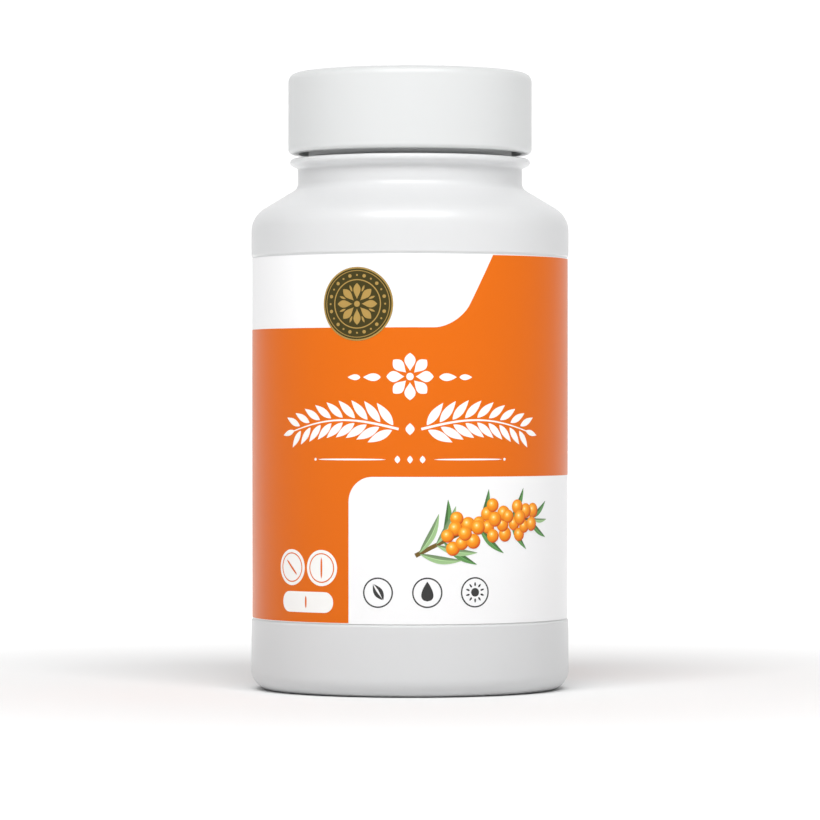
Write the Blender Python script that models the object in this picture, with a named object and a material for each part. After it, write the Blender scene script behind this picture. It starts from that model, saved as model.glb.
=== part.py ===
"""A tablet bottle for a 38 mm screw cap, with its cap, sealing liner and wrap-round label.

Metres, +Z up. The origin is the centre of the standing ring, and the label's front faces -Y.
"""

import math

import bmesh
import bpy
from mathutils import Matrix

# Driving dimensions of the whole bottle
BODY_RADIUS = 0.0275
TOTAL_HEIGHT = 0.1066
BODY_WALL = 0.0010
SEGMENTS = 64
STEP_ANGLE = 2 * math.pi / SEGMENTS
CLEARANCE = 0.0003

# Base: a flat standing ring round a shallow push-up
RING_INNER_RADIUS = 0.0200
HEEL_RADIUS = 0.0032
RING_OUTER_RADIUS = BODY_RADIUS - HEEL_RADIUS
DOME_RADIUS = 0.0184
DOME_EDGE_HEIGHT = 0.0009
DOME_HEIGHT = 0.0024
DOME_STEPS = 3
RING_BEVEL_WIDTH = 0.0005
RING_BEVEL_HEIGHT = 0.0003
BASE_WALL = 0.0014

# Label and the recessed panel that it lies in
LABEL_BOTTOM = 0.0124
LABEL_TOP = 0.0745
LABEL_THICKNESS = 0.00025
LABEL_OUTER_RADIUS = BODY_RADIUS - 0.00005
LABEL_INNER_RADIUS = LABEL_OUTER_RADIUS - LABEL_THICKNESS
LABEL_GAP_STEPS = 2
PANEL_RADIUS = LABEL_INNER_RADIUS - CLEARANCE
PANEL_LEDGE = 0.0004

# Shoulder: a round corner, then a cone that rises to the neck
SHOULDER_START = 0.0793
SHOULDER_CORNER = 0.0045
SHOULDER_SLOPE = math.radians(31)
NECK_FILLET = 0.0016
NECK_RADIUS = 0.0194
NECK_INNER_RADIUS = 0.0180
TAPER_BELOW_BEAD = 0.0018
TAPER_ABOVE_BEAD = 0.0004

# Neck finish: transfer bead, plain wall, one turn of thread, rim
BEAD_BOTTOM = 0.0902
BEAD_TOP = 0.0920
BEAD_RADIUS = 0.0208
FINISH_RADIUS = 0.0176
BORE_RADIUS = 0.0162
RIM_HEIGHT = 0.1037
RIM_CHAMFER = 0.0003

# Screw thread: 6 turns an inch, one turn of it on each side
LEAD = 0.0254 / 6
THREAD_STEPS = SEGMENTS
FADE_STEPS = 7
THREAD_SUNK = 0.0005
THREAD_ROOT_WIDTH = 0.0020
THREAD_CREST_WIDTH = 0.0009
NECK_THREAD_RADIUS = 0.01875
NECK_THREAD_TOP = 0.1019
CAP_THREAD_RADIUS = 0.0181
CAP_THREAD_DROP = 0.00155

# Cap and liner
CAP_RADIUS = 0.0211
CAP_INNER_RADIUS = 0.0193
CAP_FOOT_RADIUS = 0.01975
CAP_RIM_RADIUS = 0.0201
CAP_BOTTOM = BEAD_TOP + CLEARANCE
CAP_RIM_HEIGHT = 0.09295
CAP_SKIRT_START = 0.0936
CAP_EDGE_RADIUS = 0.0015
CAP_PANEL_RADIUS = 0.0160
CAP_PANEL_DEPTH = 0.00035
CAP_INNER_FILLET = 0.0005
LINER_RADIUS = 0.0188
LINER_BOTTOM = RIM_HEIGHT + CLEARANCE
LINER_THICKNESS = 0.0008
CAP_CEILING = LINER_BOTTOM + LINER_THICKNESS + CLEARANCE

WHITE_PLASTIC = (0.80, 0.81, 0.81, 1.0)
ORANGE_FILM = (0.88, 0.17, 0.015, 1.0)
LINER_BOARD = (0.86, 0.86, 0.84, 1.0)


def material(name, colour, roughness):
    made = bpy.data.materials.new(name)
    made.use_nodes = True
    shader = made.node_tree.nodes["Principled BSDF"]
    shader.inputs["Base Color"].default_value = colour
    shader.inputs["Roughness"].default_value = roughness
    shader.inputs["Metallic"].default_value = 0.0
    return made


def arc(centre_radius, centre_height, radius, start, end, steps):
    """Points of a round stretch of a profile, from angle start to angle end."""
    angles = [start + (end - start) * i / steps for i in range(steps + 1)]
    return [
        (centre_radius + radius * math.cos(a), centre_height + radius * math.sin(a))
        for a in angles
    ]


def add_object(name, mesh_data, finish):
    """Turns a bmesh into a named object with its material, smooth but for its sharp edges."""
    mesh = bpy.data.meshes.new(name)
    mesh_data.to_mesh(mesh)
    mesh_data.free()
    mesh.materials.append(finish)
    mesh.shade_smooth()
    mesh.set_sharp_from_angle(angle=math.radians(30))
    made = bpy.data.objects.new(name, mesh)
    bpy.context.scene.collection.objects.link(made)
    return made


def turned(profile, first_angle=0.0, steps=SEGMENTS):
    """A bmesh solid from a profile of (radius, height) points, turned about the Z axis.

    A profile turned less than all the way round keeps a flat end at both sides.
    """
    whole = steps == SEGMENTS
    made = bmesh.new()
    verts = [made.verts.new((radius, 0.0, height)) for radius, height in profile]
    touches_axis = profile[0][0] == 0.0
    pairs = list(zip(verts, verts[1:]))
    if not touches_axis:
        pairs.append((verts[-1], verts[0]))
    edges = [made.edges.new(pair) for pair in pairs]
    start = verts + edges
    if not whole:
        start.append(made.faces.new(verts))
    bmesh.ops.rotate(made, verts=verts, cent=(0, 0, 0), matrix=Matrix.Rotation(first_angle, 3, "Z"))
    bmesh.ops.spin(
        made,
        geom=start,
        cent=(0, 0, 0),
        axis=(0, 0, 1),
        angle=steps * STEP_ANGLE,
        steps=steps,
        use_merge=whole,
    )
    bmesh.ops.remove_doubles(made, verts=made.verts, dist=1e-6)
    bmesh.ops.recalc_face_normals(made, faces=made.faces)
    return made


def thread_fade(step):
    """Share of the full thread height at a step: it rises and falls over the thread's two ends."""
    from_end = min(step, THREAD_STEPS - step)
    return math.sin(0.5 * math.pi * min(1.0, from_end / FADE_STEPS))


def thread_ridge(wall_radius, crest_radius, top_height):
    """One turn of right-hand thread that grows out of a wall, with its root sunk into it.

    It stands outwards where the crest is wider than the wall, and inwards where it is narrower.
    At both ends the crest runs down into the wall.
    """
    outwards = math.copysign(1.0, crest_radius - wall_radius)
    depth = abs(crest_radius - wall_radius)
    flank = 0.5 * (THREAD_ROOT_WIDTH - THREAD_CREST_WIDTH) / depth
    root_radius = wall_radius - outwards * THREAD_SUNK
    root_half = 0.5 * THREAD_ROOT_WIDTH + flank * THREAD_SUNK
    buried_end = 0.5 * THREAD_SUNK
    made = bmesh.new()
    rings = []
    for step in range(THREAD_STEPS + 1):
        angle = step * STEP_ANGLE
        height = top_height - LEAD * (1 - step / THREAD_STEPS)
        rise = thread_fade(step) * (depth + buried_end) - buried_end
        crest = wall_radius + outwards * rise
        crest_half = root_half - flank * abs(crest - root_radius)
        section = [
            (root_radius, -root_half),
            (crest, -crest_half),
            (crest, crest_half),
            (root_radius, root_half),
        ]
        rings.append(
            [
                made.verts.new((r * math.cos(angle), r * math.sin(angle), height + z))
                for r, z in section
            ]
        )
    for low, high in zip(rings, rings[1:]):
        for corner in range(4):
            following = (corner + 1) % 4
            made.faces.new((low[corner], low[following], high[following], high[corner]))
    made.faces.new(rings[0])
    made.faces.new(rings[-1])
    bmesh.ops.recalc_face_normals(made, faces=made.faces)
    return made


def join_thread(body, ridge):
    """Unites a thread with the wall it stands on."""
    cutter = add_object("thread_tool", ridge, body.data.materials[0])
    union = body.modifiers.new("thread", "BOOLEAN")
    union.operation = "UNION"
    union.solver = "EXACT"
    union.object = cutter
    bpy.context.view_layer.objects.active = body
    body.select_set(True)
    bpy.ops.object.modifier_apply(modifier=union.name)
    bpy.data.objects.remove(cutter)
    return body


def dome(above=0.0):
    """Points of the push-up from the middle to its edge, on its underside or that far above it."""
    drop = DOME_HEIGHT - DOME_EDGE_HEIGHT
    shares = [i / DOME_STEPS for i in range(DOME_STEPS + 1)]
    return [(DOME_RADIUS * share, DOME_HEIGHT - drop * share**2 + above) for share in shares]


def slope_height(radius, below=0.0):
    """Height of the shoulder's cone at a radius, or of a surface that far below it."""
    corner_radius = BODY_RADIUS - SHOULDER_CORNER
    turn = math.pi / 2 - SHOULDER_SLOPE
    start_radius = corner_radius + SHOULDER_CORNER * math.cos(turn)
    start_height = SHOULDER_START + SHOULDER_CORNER * math.sin(turn)
    rise = (start_radius - radius) * math.tan(SHOULDER_SLOPE)
    return start_height + rise - below / math.cos(SHOULDER_SLOPE)


def bottle_outside():
    """Outer profile of the bottle, from the middle of the base up to the rim."""
    turn = math.pi / 2 - SHOULDER_SLOPE
    corner_radius = BODY_RADIUS - SHOULDER_CORNER
    fillet_radius = NECK_RADIUS + NECK_FILLET
    fillet_height = slope_height(NECK_RADIUS) + NECK_FILLET * math.tan(turn / 2)
    return [
        *dome(),
        (RING_INNER_RADIUS - RING_BEVEL_WIDTH, RING_BEVEL_HEIGHT),
        (RING_INNER_RADIUS, 0.0),
        *arc(RING_OUTER_RADIUS, HEEL_RADIUS, HEEL_RADIUS, -math.pi / 2, 0.0, 6),
        (BODY_RADIUS, LABEL_BOTTOM - CLEARANCE - PANEL_LEDGE),
        (PANEL_RADIUS, LABEL_BOTTOM - CLEARANCE),
        (PANEL_RADIUS, LABEL_TOP + CLEARANCE),
        (BODY_RADIUS, LABEL_TOP + CLEARANCE + PANEL_LEDGE),
        *arc(corner_radius, SHOULDER_START, SHOULDER_CORNER, 0.0, turn, 6),
        *arc(fillet_radius, fillet_height, NECK_FILLET, math.pi + turn, math.pi, 4),
        (NECK_RADIUS, BEAD_BOTTOM),
        *bead(),
        (FINISH_RADIUS, BEAD_TOP),
        (FINISH_RADIUS, RIM_HEIGHT - RIM_CHAMFER),
        (FINISH_RADIUS - RIM_CHAMFER, RIM_HEIGHT),
    ]


def bead():
    """Rounded outer edge of the transfer bead, from its bottom to its top."""
    half = 0.5 * (BEAD_TOP - BEAD_BOTTOM)
    middle = BEAD_BOTTOM + half
    return arc(BEAD_RADIUS - half, middle, half, math.radians(-75), math.radians(90), 6)


def bottle_inside():
    """Inner profile of the bottle, from the rim down to the middle of the base."""
    turn = math.pi / 2 - SHOULDER_SLOPE
    corner_radius = BODY_RADIUS - SHOULDER_CORNER
    inner_corner = SHOULDER_CORNER - BODY_WALL
    inner_radius = BODY_RADIUS - BODY_WALL
    panel_inner = PANEL_RADIUS - BODY_WALL
    inner_heel = HEEL_RADIUS - BODY_WALL
    heel_height = BASE_WALL + inner_heel
    return [
        (BORE_RADIUS + RIM_CHAMFER, RIM_HEIGHT),
        (BORE_RADIUS, RIM_HEIGHT - RIM_CHAMFER),
        (BORE_RADIUS, BEAD_BOTTOM + TAPER_ABOVE_BEAD),
        (NECK_INNER_RADIUS, BEAD_BOTTOM - TAPER_BELOW_BEAD),
        (NECK_INNER_RADIUS, slope_height(NECK_INNER_RADIUS, BODY_WALL)),
        *arc(corner_radius, SHOULDER_START, inner_corner, turn, 0.0, 5),
        (inner_radius, LABEL_TOP + CLEARANCE + 2 * PANEL_LEDGE),
        (panel_inner, LABEL_TOP + CLEARANCE),
        (panel_inner, LABEL_BOTTOM - CLEARANCE),
        (inner_radius, LABEL_BOTTOM - CLEARANCE - 2 * PANEL_LEDGE),
        *arc(inner_radius - inner_heel, heel_height, inner_heel, 0.0, -math.pi / 2, 5),
        (RING_INNER_RADIUS, BASE_WALL),
        *reversed(dome(BASE_WALL)),
    ]


def make_bottle(finish):
    body = add_object("bottle", turned(bottle_outside() + bottle_inside()), finish)
    ridge = thread_ridge(FINISH_RADIUS, NECK_THREAD_RADIUS, NECK_THREAD_TOP)
    return join_thread(body, ridge)


def make_label(finish):
    """The film lies all round the panel but for a narrow gap at the back."""
    profile = [
        (LABEL_INNER_RADIUS, LABEL_BOTTOM),
        (LABEL_OUTER_RADIUS, LABEL_BOTTOM),
        (LABEL_OUTER_RADIUS, LABEL_TOP),
        (LABEL_INNER_RADIUS, LABEL_TOP),
    ]
    first_angle = math.pi / 2 + 0.5 * LABEL_GAP_STEPS * STEP_ANGLE
    return add_object("label", turned(profile, first_angle, SEGMENTS - LABEL_GAP_STEPS), finish)


def cap_profile():
    """Closed section of the cap from the middle of its top, down its outside and up its inside."""
    edge = arc(
        CAP_RADIUS - CAP_EDGE_RADIUS,
        TOTAL_HEIGHT - CAP_EDGE_RADIUS,
        CAP_EDGE_RADIUS,
        math.pi / 2,
        0.0,
        5,
    )
    inner_edge = arc(
        CAP_INNER_RADIUS - CAP_INNER_FILLET,
        CAP_CEILING - CAP_INNER_FILLET,
        CAP_INNER_FILLET,
        0.0,
        math.pi / 2,
        3,
    )
    return [
        (0.0, TOTAL_HEIGHT - CAP_PANEL_DEPTH),
        (CAP_PANEL_RADIUS - CAP_PANEL_DEPTH, TOTAL_HEIGHT - CAP_PANEL_DEPTH),
        (CAP_PANEL_RADIUS, TOTAL_HEIGHT),
        *edge,
        (CAP_RADIUS, CAP_SKIRT_START),
        (CAP_RIM_RADIUS, CAP_RIM_HEIGHT),
        (CAP_FOOT_RADIUS, CAP_RIM_HEIGHT),
        (CAP_FOOT_RADIUS, CAP_BOTTOM),
        (CAP_INNER_RADIUS, CAP_BOTTOM),
        *inner_edge,
        (0.0, CAP_CEILING),
    ]


def make_cap(finish):
    cap = add_object("cap", turned(cap_profile()), finish)
    ridge = thread_ridge(CAP_INNER_RADIUS, CAP_THREAD_RADIUS, NECK_THREAD_TOP - CAP_THREAD_DROP)
    return join_thread(cap, ridge)


def make_liner(finish):
    profile = [
        (0.0, LINER_BOTTOM),
        (LINER_RADIUS, LINER_BOTTOM),
        (LINER_RADIUS, LINER_BOTTOM + LINER_THICKNESS),
        (0.0, LINER_BOTTOM + LINER_THICKNESS),
    ]
    return add_object("cap_liner", turned(profile), finish)


def main():
    for old in list(bpy.data.objects):
        bpy.data.objects.remove(old)
    plastic = material("white_plastic", WHITE_PLASTIC, 0.35)
    make_bottle(plastic)
    make_label(material("orange_film", ORANGE_FILM, 0.25))
    make_cap(material("cap_plastic", WHITE_PLASTIC, 0.40))
    make_liner(material("liner_board", LINER_BOARD, 0.80))


main()
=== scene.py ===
"""Looks of a white tablet bottle with its screw cap, liner and wrap-round printed label.

Laid out as a Blender add-on. Metres, +Z up, and the middle of the label's front faces -Y.
"""

from contextlib import contextmanager
from math import atan2, ceil, copysign, cos, degrees, floor, hypot, log, pi, radians, sin, sqrt, tan

import bmesh
import bpy
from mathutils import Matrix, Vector


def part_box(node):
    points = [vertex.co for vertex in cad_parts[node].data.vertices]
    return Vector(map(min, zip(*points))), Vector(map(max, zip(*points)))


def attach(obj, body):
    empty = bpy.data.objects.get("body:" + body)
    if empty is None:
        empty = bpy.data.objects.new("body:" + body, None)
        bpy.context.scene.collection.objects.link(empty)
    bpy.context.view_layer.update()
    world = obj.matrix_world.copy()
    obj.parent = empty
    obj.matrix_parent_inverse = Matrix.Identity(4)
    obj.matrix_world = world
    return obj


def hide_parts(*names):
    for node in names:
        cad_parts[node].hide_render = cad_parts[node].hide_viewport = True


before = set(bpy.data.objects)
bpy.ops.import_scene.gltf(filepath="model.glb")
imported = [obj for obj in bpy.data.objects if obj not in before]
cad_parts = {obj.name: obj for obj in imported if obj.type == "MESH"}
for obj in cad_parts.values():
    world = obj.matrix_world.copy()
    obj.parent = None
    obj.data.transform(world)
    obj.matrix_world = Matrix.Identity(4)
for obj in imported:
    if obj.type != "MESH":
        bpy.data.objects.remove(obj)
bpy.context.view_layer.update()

bl_info = {
    "name": "Tablet bottle",
    "version": (1, 0, 0),
    "blender": (4, 5, 0),
    "location": "3D View > Sidebar > Tablet bottle",
    "description": "Builds a white tablet bottle with a screw cap and a printed wrap-round label",
    "category": "Add Mesh",
}

BOTTLE_LOW, BOTTLE_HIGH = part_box("bottle")
CAP_LOW, CAP_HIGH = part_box("cap")
LABEL_LOW, LABEL_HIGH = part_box("label")
LINER_LOW, LINER_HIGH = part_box("cap_liner")

MM = 0.001
SIDES = 192
SHARP = radians(30)
SLIVER = 0.000003

# Where the moulds met: a faint raised line up the bottle's left and right
PARTING_HEIGHT = 0.00005
PARTING_WIDTH = 0.00022

# The base: a standing ring round a shallow dome
RING_RADIUS = 0.0200
DOME_RADIUS = 0.0184
DOME_EDGE = 0.0009
DOME_TOP = 0.0024
DOME_STEPS = 8
FLOOR = 0.0014

# The screw thread, 6 turns an inch, with one turn of it on the neck and one in the cap
LEAD = 0.0254 / 6
THREAD_STEPS = 128
THREAD_SUNK = 0.0005
THREAD_ROOT = 0.0020
THREAD_CREST = 0.0009
THREAD_FADE = 0.11
THREAD_ROUNDING = 0.00018
NECK_THREAD_RADIUS = 0.01875
NECK_THREAD_TOP = 0.1019
CAP_THREAD_RADIUS = 0.0181
CAP_THREAD_DROP = 0.00155

# The bead on the neck, and the plain wall that carries the thread
BEAD_BOTTOM = 0.0902
BEAD_TOP = 0.09175
BEAD_TIP = 0.0006
BEAD_SLANT = radians(25)
FINISH_RADIUS = 0.0176
NECK_INNER_RADIUS = 0.0180

# The cap's hem, and the gap between its ceiling and the liner
HEM = 0.0008
HEM_BOTTOM = 0.09265
CLEARANCE = 0.0003

# The label's layers stand on each other, a little proud, as printed inks do
FILM_THICKNESS = 0.00010
INK_RISE = 0.00002
INK_SUNK = 0.00001
PRINT_GLOSS = 0.2
INK_ROUGHNESS = 0.32
SLICE = 0.0010

# A curve's handles for a round quarter turn, as a share of its radius
ROUND = 0.55

# The stage: a round floor with a wall, and two square lights
STAGE_RADIUS = 4.5
STAGE_HEIGHT = 10.0
LIGHT_SIZE = 0.7
LIGHT_PLACE = (0.35, -0.95, 1.25)
LIGHT_AIM = (0, 0, 0.05)


def number(name, description, default, **kind):
    return bpy.props.FloatProperty(name=name, description=description, default=default, **kind)


def length(name, description, default):
    return number(name, description, default, unit="LENGTH")


def colour(name, description, default):
    return bpy.props.FloatVectorProperty(
        name=name, description=description, size=3, min=0, max=1, subtype="COLOR", default=default
    )


class BottleSizes(bpy.types.PropertyGroup):
    """Sizes of the blow-moulded body."""

    body_radius: length(
        "Body radius", "Outer radius of the widest wall", BOTTLE_HIGH.x - PARTING_HEIGHT
    )
    wall: length("Wall", "Thickness of the side wall", 1.0 * MM)
    heel: length("Heel", "Radius of the rounded heel", 3.2 * MM)
    shoulder: length("Shoulder", "Radius of the shoulder's corner", 4.5 * MM)
    shoulder_height: length("Shoulder height", "Height where the corner starts", 79.3 * MM)
    slope: number(
        "Slope", "Angle of the shoulder's cone above level", radians(31), subtype="ANGLE"
    )
    neck_radius: length("Neck radius", "Outer radius below the bead", 19.4 * MM)
    bead_radius: length("Bead radius", "Outer radius of the neck's bead", 20.8 * MM)
    bore_radius: length("Bore radius", "Radius of the mouth", 16.2 * MM)
    rim_height: length("Rim height", "Height of the mouth's rim", BOTTLE_HIGH.z)
    panel_depth: length(
        "Panel depth", "How far the label's panel lies below the wall", 0.22 * MM
    )


class CapSizes(bpy.types.PropertyGroup):
    """Sizes of the screw cap."""

    radius: length("Radius", "Outer radius of the skirt", CAP_HIGH.x)
    top: length("Top", "Height of the top's rim", CAP_HIGH.z)
    inner_radius: length("Inner radius", "Radius of the skirt's inside", 19.3 * MM)
    edge: length("Edge", "Radius of the rounded top edge", 1.5 * MM)
    panel_radius: length("Panel radius", "Radius of the sunk panel in the top", 16.0 * MM)
    panel_depth: length("Panel depth", "Depth of the sunk panel", 0.35 * MM)


class LabelSizes(bpy.types.PropertyGroup):
    """Sizes of the label."""

    bottom: length("Bottom", "Height of the lower edge", LABEL_LOW.z)
    top: length("Top", "Height of the upper edge", LABEL_HIGH.z)
    gap: length("Gap", "Bare strip between the label's ends at the back", 5.4 * MM)
    corner: length("Corner", "Radius of the label's corners", 2.5 * MM)
    margin: length("Margin", "Bare film along the label's edges", 0.12 * MM)


class Colours(bpy.types.PropertyGroup):
    """Colours of the plastics, the film and its inks, as linear values."""

    bottle: colour("Bottle", "White bottle plastic", (0.66, 0.665, 0.67))
    cap: colour("Cap", "White cap plastic", (0.64, 0.65, 0.65))
    liner: colour("Liner", "Foam liner", (0.80, 0.80, 0.77))
    film: colour("Film", "Bare label film", (0.88, 0.88, 0.885))
    orange: colour("Orange", "Field ink", (0.715, 0.138, 0.001))
    white: colour("White", "Ornament ink", (0.90, 0.89, 0.87))
    olive: colour("Olive", "Seal ink", (0.050, 0.040, 0.008))
    gold: colour("Gold", "Seal line ink", (0.42, 0.27, 0.075))
    grey: colour("Grey", "Icon ink", (0.045, 0.045, 0.045))
    leaf: colour("Leaf", "Dark leaf ink", (0.085, 0.21, 0.065))
    pale_leaf: colour("Pale leaf", "Silvery leaf ink", (0.24, 0.37, 0.18))
    fruit: colour("Fruit", "Fruit ink", (0.93, 0.30, 0.012))
    stem: colour("Stem", "Stem ink", (0.16, 0.10, 0.025))


class StageSetup(bpy.types.PropertyGroup):
    """Camera, floor and lights."""

    distance: length("Distance", "From the camera to the bottle's axis", 0.763)
    eye_height: length("Eye height", "Height of the level camera", 48.3 * MM)
    lens: number("Lens", "Focal length on a 36 mm sensor", 193.0, unit="CAMERA")
    floor: colour("Floor", "Pale floor", (0.86, 0.86, 0.86))
    glow: number("Glow", "Light given off by the floor away from the bottle", 0.8)
    sky: number("Sky", "Strength of the even part of the tent's light", 0.32)
    sky_front: number("Sky front", "Light that the tent gives more at its front", -0.28)
    sky_back: number("Sky back", "Light that the tent gives more at its back", 0.65)
    key: number("Key", "Power of the front left light", 12.1, unit="POWER")
    fill: number("Fill", "Power of the front right light", 11.7, unit="POWER")


def choose(piece):
    """Selects one piece alone and makes it the active one."""
    bpy.ops.object.select_all(action="DESELECT")
    piece.select_set(True)
    bpy.context.view_layer.objects.active = piece


def added(kind, **settings):
    """A new primitive mesh at its size and place."""
    bpy.ops.object.select_all(action="DESELECT")
    getattr(bpy.ops.mesh, f"primitive_{kind}_add")(**settings)
    return bpy.context.object


@contextmanager
def editing(piece, kind="VERT", whole=False):
    """Edit mode on one piece alone, with all of it or nothing selected to begin with."""
    choose(piece)
    bpy.ops.object.mode_set(mode="EDIT")
    bpy.ops.mesh.select_mode(type=kind)
    bpy.ops.mesh.select_all(action="SELECT" if whole else "DESELECT")
    yield
    bpy.ops.object.mode_set(mode="OBJECT")


def pick(piece, kind, wanted):
    """Selects the verts, edges or faces of a piece in edit mode that a test wants."""
    bpy.ops.mesh.select_all(action="DESELECT")
    shape = bmesh.from_edit_mesh(piece.data)
    for item in getattr(shape, kind):
        if wanted(item):
            item.select_set(True)
    shape.select_flush_mode()
    bmesh.update_edit_mesh(piece.data)


def select_openings():
    """In edit mode, selects the edges that have a face on one side only."""
    bpy.ops.mesh.select_non_manifold(
        use_wire=False, use_multi_face=False, use_non_contiguous=False, use_verts=False
    )


def apply_modifier(piece, kind, **settings):
    """Adds one modifier with its settings and applies it."""
    modifier = piece.modifiers.new(kind.lower(), kind)
    for name, value in settings.items():
        setattr(modifier, name, value)
    choose(piece)
    bpy.ops.object.modifier_apply(modifier=modifier.name)


def apply_place(piece):
    """Puts a piece's place, turn and size into its mesh."""
    choose(piece)
    bpy.ops.object.transform_apply(location=True, rotation=True, scale=True)


def tidy_mesh(piece, distance=1e-6):
    """Merges doubles and turns every face outwards."""
    with editing(piece, whole=True):
        bpy.ops.mesh.remove_doubles(threshold=distance)
        bpy.ops.mesh.normals_make_consistent(inside=False)


def arc(centre_radius, centre_height, radius, start, end, steps):
    """Points of a round stretch of an outline, from one angle to another."""
    angles = [start + (end - start) * i / steps for i in range(steps + 1)]
    return [
        (centre_radius + radius * cos(a), centre_height + radius * sin(a))
        for a in angles
    ]


def eased(start, end, steps=6):
    """Points of a soft S-shaped step between two points of an outline, run mostly in height."""
    points = []
    for i in range(steps + 1):
        share = i / steps
        ease = share * share * (3 - 2 * share)
        points.append(
            (start[0] + (end[0] - start[0]) * ease, start[1] + (end[1] - start[1]) * share)
        )
    return points


def supported(points, margin=0.22 * MM):
    """The same outline with a point a little way in from both ends of each long straight stretch.

    The extra rings keep smooth shading flat along that stretch.
    """
    result = [points[0]]
    for start, end in zip(points, points[1:]):
        run = Vector(end) - Vector(start)
        if run.length > 5 * margin:
            inset = run * (margin / run.length)
            result.append(tuple(Vector(start) + inset))
            result.append(tuple(Vector(end) - inset))
        result.append(end)
    return result


def turned(outline, sides=SIDES):
    """A round piece drawn up ring by ring from (radius, height) points, with a pole at each end."""
    radius, height = outline[0]
    piece = added(
        "circle", vertices=sides, radius=radius, fill_type="TRIFAN", location=(0, 0, height)
    )
    with editing(piece, "EDGE"):
        select_openings()
        for next_radius, next_height in outline[1:]:
            bpy.ops.mesh.extrude_region_move(
                TRANSFORM_OT_translate={"value": (0, 0, next_height - height)}
            )
            share = next_radius / radius
            bpy.ops.transform.resize(value=(share, share, 1), center_override=(0, 0, 0))
            radius, height = next_radius, next_height
        bpy.ops.mesh.extrude_region_move()
        bpy.ops.mesh.merge(type="CENTER")
    apply_place(piece)
    tidy_mesh(piece)
    return piece


def thread(wall_radius, crest_radius, top):
    """One turn of right-hand thread that grows out of a wall and dies away at both ends."""
    outwards = copysign(1, crest_radius - wall_radius)
    depth = abs(crest_radius - wall_radius)
    root_radius = wall_radius - outwards * THREAD_SUNK
    flank = 0.5 * (THREAD_ROOT - THREAD_CREST) / depth
    root_half = 0.5 * THREAD_ROOT + flank * THREAD_SUNK
    piece = added("plane", size=2)
    for vertex in piece.data.vertices:
        at_crest, side = vertex.co.x > 0, copysign(1, vertex.co.y)
        radius = crest_radius if at_crest else root_radius
        half = 0.5 * THREAD_CREST if at_crest else root_half
        vertex.co = (radius, 0, top - LEAD + side * half)
    with editing(piece):
        pick(piece, "verts", lambda vertex: abs(vertex.co.x - crest_radius) < 1e-6)
        bpy.ops.mesh.bevel(offset=THREAD_ROUNDING, segments=3, affect="VERTICES")
        bpy.ops.mesh.select_all(action="SELECT")
        bpy.ops.mesh.delete(type="ONLY_FACE")
    corners = len(piece.data.vertices)
    apply_modifier(
        piece, "SCREW", angle=2 * pi, screw_offset=LEAD, steps=THREAD_STEPS,
        render_steps=THREAD_STEPS,
    )
    buried = 0.5 * THREAD_SUNK / (THREAD_SUNK + depth)
    for vertex in piece.data.vertices:
        along = (vertex.index // corners) / THREAD_STEPS
        rise = sin(0.5 * pi * min(1, min(along, 1 - along) / THREAD_FADE))
        radius = hypot(vertex.co.x, vertex.co.y)
        share = buried + (1 - buried) * rise
        factor = (root_radius + (radius - root_radius) * share) / radius
        vertex.co.x *= factor
        vertex.co.y *= factor
    with editing(piece, "EDGE"):
        select_openings()
        bpy.ops.mesh.fill_holes(sides=corners)
    tidy_mesh(piece)
    return piece


def unite(piece, other):
    """Joins another closed shape to a piece, as one body, with no slivers along the seam."""
    apply_modifier(piece, "BOOLEAN", operation="UNION", solver="EXACT", object=other)
    bpy.data.objects.remove(other)
    with editing(piece, whole=True):
        bpy.ops.mesh.dissolve_degenerate(threshold=SLIVER)


def finish_piece(piece, name, finish, body, slot, *stands_for):
    """Names a piece, gives it its finish, sets it on its body and hides the nodes that it stands
    for. Its slot is not used.
    """
    piece.name = name
    piece.data.name = name
    piece.data.materials.clear()
    piece.data.materials.append(finish)
    choose(piece)
    bpy.ops.object.shade_smooth_by_angle(angle=SHARP)
    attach(piece, body)
    if stands_for:
        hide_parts(*stands_for)


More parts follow.
